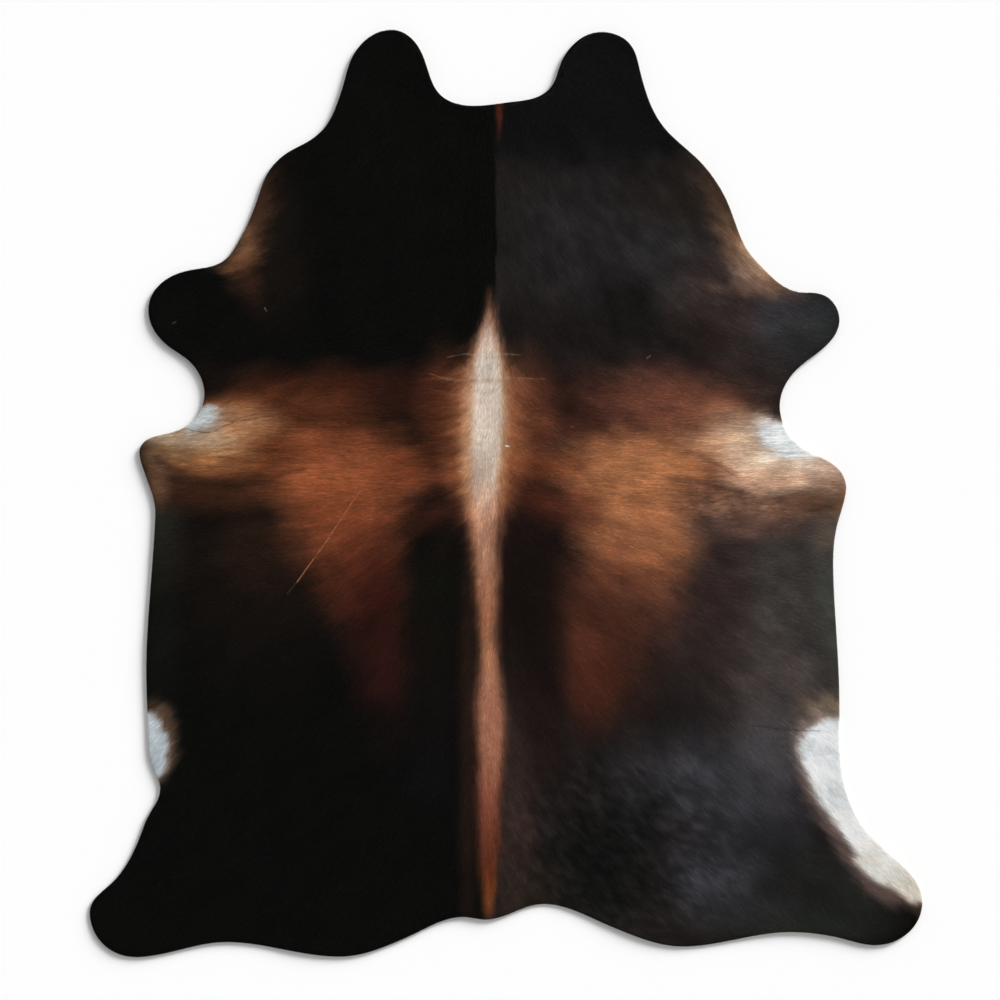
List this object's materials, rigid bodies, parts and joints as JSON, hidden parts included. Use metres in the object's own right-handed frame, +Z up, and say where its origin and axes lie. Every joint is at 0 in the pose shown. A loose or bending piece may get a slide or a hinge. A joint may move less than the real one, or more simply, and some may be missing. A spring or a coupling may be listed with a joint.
{
  "type": "cowhide rug",
  "caption": "Whole hair-on cowhide rug lying flat, hair side up, with head lobes, leg lobes and belly edges, dark coat with rust flanks and a pale spine stripe.",
  "frame": {"origin": "on the floor, under the middle of the hide's length and width", "axes": "+Z up out of the hair side, +Y along the spine towards the head end, +X to the right with the head away from the viewer"},
  "size_m": [1.886, 2.1, 0.005],
  "materials": {
    "hair_coat": "short glossy hair lying flat, near black, with rust and copper flanks, a cream to rust spine stripe and white belly patches",
    "suede_back": "matt natural suede on the underside and the cut edge"
  },
  "bodies": {
    "root": {"hide": "hair_coat"}
  },
  "joints": []
}
